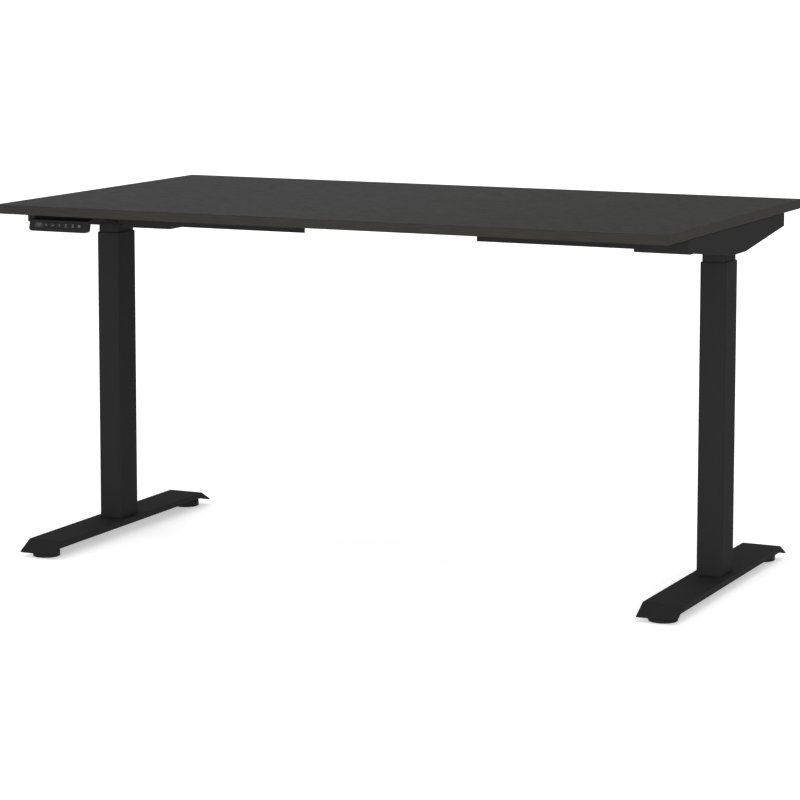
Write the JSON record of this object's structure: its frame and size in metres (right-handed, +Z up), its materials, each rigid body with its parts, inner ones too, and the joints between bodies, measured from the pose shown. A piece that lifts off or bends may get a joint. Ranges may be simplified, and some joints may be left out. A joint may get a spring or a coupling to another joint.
{
  "type": "height adjustable standing desk",
  "caption": "Sit-stand desk: dark rectangular top on a black T-leg steel frame with electric telescoping columns, levelling glides and a push-button handset.",
  "frame": {"origin": "on the floor under the middle of the desktop", "axes": "+X along the desktop width to the right as seen from the user side, +Y to the rear edge, +Z up"},
  "size_m": [1.4, 0.8, 0.72],
  "materials": {
    "desktop_laminate": "dark grey melamine laminate with a faint grain along the width, matt",
    "edge_banding": "dark plastic edge banding, matt",
    "powder_coat": "black powder coat on steel, fine texture",
    "black_plastic": "black moulded plastic",
    "grey_plastic": "dark grey moulded plastic",
    "key_plastic": null,
    "zinc_steel": "zinc plated steel",
    "bright_steel": "ground steel",
    "brass": "machined brass",
    "gearbox_alloy": "die cast alloy",
    "nylon": "moulded nylon",
    "circuit_board": "green circuit board",
    "cable_jacket": "black cable jacket"
  },
  "bodies": {
    "left_base": {"left_foot": "powder_coat", "left_foot_plate": "zinc_steel", "left_foot_bolt_front": "zinc_steel", "left_foot_bolt_rear": "zinc_steel", "left_outer_column": "powder_coat", "left_guide_collar": "black_plastic", "left_push_tube": "bright_steel", "left_spindle_nut": "brass"},
    "lifting_frame": {"desktop": "desktop_laminate", "edge_band": "edge_banding", "centre_rail": "powder_coat", "control_box_case": "black_plastic", "control_box_lid": "zinc_steel", "control_board": "circuit_board", "mains_inlet": "grey_plastic", "handset_case": "grey_plastic", "handset_board": "circuit_board", "handset_cable": "cable_jacket", "left_inner_column": "powder_coat", "left_guide_shoe": "nylon", "left_head_plate": "powder_coat", "left_gearbox": "gearbox_alloy", "left_motor": "zinc_steel", "left_motor_cover": "black_plastic", "left_side_arm": "powder_coat", "left_side_rail": "powder_coat", "left_motor_cable": "cable_jacket", "right_inner_column": "powder_coat", "right_guide_shoe": "nylon", "right_head_plate": "powder_coat", "right_gearbox": "gearbox_alloy", "right_motor": "zinc_steel", "right_motor_cover": "black_plastic", "right_side_arm": "powder_coat", "right_side_rail": "powder_coat", "right_motor_cable": "cable_jacket"},
    "right_base": {"right_foot": "powder_coat", "right_foot_plate": "zinc_steel", "right_foot_bolt_front": "zinc_steel", "right_foot_bolt_rear": "zinc_steel", "right_outer_column": "powder_coat", "right_guide_collar": "black_plastic", "right_push_tube": "bright_steel", "right_spindle_nut": "brass"},
    "left_spindle_set": {"left_spindle": "bright_steel", "left_worm_wheel": "brass"},
    "left_worm_set": {"left_worm_shaft": "bright_steel"},
    "left_glide_front": {"left_glide_front": "black_plastic"},
    "left_glide_rear": {"left_glide_rear": "black_plastic"},
    "right_spindle_set": {"right_spindle": "bright_steel", "right_worm_wheel": "brass"},
    "right_worm_set": {"right_worm_shaft": "bright_steel"},
    "right_glide_front": {"right_glide_front": "black_plastic"},
    "right_glide_rear": {"right_glide_rear": "black_plastic"},
    "key_up": {"key_up": "key_plastic"},
    "key_down": {"key_down": "key_plastic"},
    "key_memory_1": {"key_memory_1": "key_plastic"},
    "key_memory_2": {"key_memory_2": "key_plastic"},
    "key_memory_3": {"key_memory_3": "key_plastic"},
    "key_store": {"key_store": "key_plastic"}
  },
  "joints": [
    {"name": "left_lift", "type": "slide", "parent": "left_base", "child": "lifting_frame", "axis": [0, 0, 1], "range_m": [0, 0.47]},
    {"name": "right_lift", "type": "slide", "parent": "lifting_frame", "child": "right_base", "axis": [0, 0, -1], "range_m": [0, 0.47]},
    {"name": "left_spindle_turn", "type": "hinge", "parent": "lifting_frame", "child": "left_spindle_set", "pos_m": [-0.6595, 0, 0.4], "axis": [0, 0, 1], "range_deg": [0, 10580]},
    {"name": "left_worm_turn", "type": "hinge", "parent": "lifting_frame", "child": "left_worm_set", "pos_m": [-0.6595, 0.0203, 0.6763], "axis": [1, 0, 0], "range_deg": [0, 95200]},
    {"name": "left_glide_front_screw", "type": "slide", "parent": "left_base", "child": "left_glide_front", "axis": [0, 0, -1], "range_m": [0, 0.005]},
    {"name": "left_glide_rear_screw", "type": "slide", "parent": "left_base", "child": "left_glide_rear", "axis": [0, 0, -1], "range_m": [0, 0.005]},
    {"name": "right_spindle_turn", "type": "hinge", "parent": "lifting_frame", "child": "right_spindle_set", "pos_m": [0.6595, 0, 0.4], "axis": [0, 0, 1], "range_deg": [0, 10580]},
    {"name": "right_worm_turn", "type": "hinge", "parent": "lifting_frame", "child": "right_worm_set", "pos_m": [0.6595, -0.0203, 0.6763], "axis": [-1, 0, 0], "range_deg": [0, 95200]},
    {"name": "right_glide_front_screw", "type": "slide", "parent": "right_base", "child": "right_glide_front", "axis": [0, 0, -1], "range_m": [0, 0.005]},
    {"name": "right_glide_rear_screw", "type": "slide", "parent": "right_base", "child": "right_glide_rear", "axis": [0, 0, -1], "range_m": [0, 0.005]},
    {"name": "key_up_press", "type": "slide", "parent": "lifting_frame", "child": "key_up", "axis": [0, 0.9774, -0.2113], "range_m": [0, 0.0012], "stiffness_N_per_m": 600},
    {"name": "key_down_press", "type": "slide", "parent": "lifting_frame", "child": "key_down", "axis": [0, 0.9774, -0.2113], "range_m": [0, 0.0012], "stiffness_N_per_m": 600},
    {"name": "key_memory_1_press", "type": "slide", "parent": "lifting_frame", "child": "key_memory_1", "axis": [0, 0.9774, -0.2113], "range_m": [0, 0.0012], "stiffness_N_per_m": 600},
    {"name": "key_memory_2_press", "type": "slide", "parent": "lifting_frame", "child": "key_memory_2", "axis": [0, 0.9774, -0.2113], "range_m": [0, 0.0012], "stiffness_N_per_m": 600},
    {"name": "key_memory_3_press", "type": "slide", "parent": "lifting_frame", "child": "key_memory_3", "axis": [0, 0.9774, -0.2113], "range_m": [0, 0.0012], "stiffness_N_per_m": 600},
    {"name": "key_store_press", "type": "slide", "parent": "lifting_frame", "child": "key_store", "axis": [0, 0.9774, -0.2113], "range_m": [0, 0.0012], "stiffness_N_per_m": 600}
  ],
  "couplings": [
    {"joint": "right_lift", "follows": "left_lift", "ratio": 1},
    {"joint": "left_spindle_turn", "follows": "left_lift", "rad_per_m": 392.7},
    {"joint": "left_worm_turn", "follows": "left_lift", "rad_per_m": 3534.3},
    {"joint": "right_spindle_turn", "follows": "left_lift", "rad_per_m": 392.7},
    {"joint": "right_worm_turn", "follows": "left_lift", "rad_per_m": 3534.3}
  ]
}
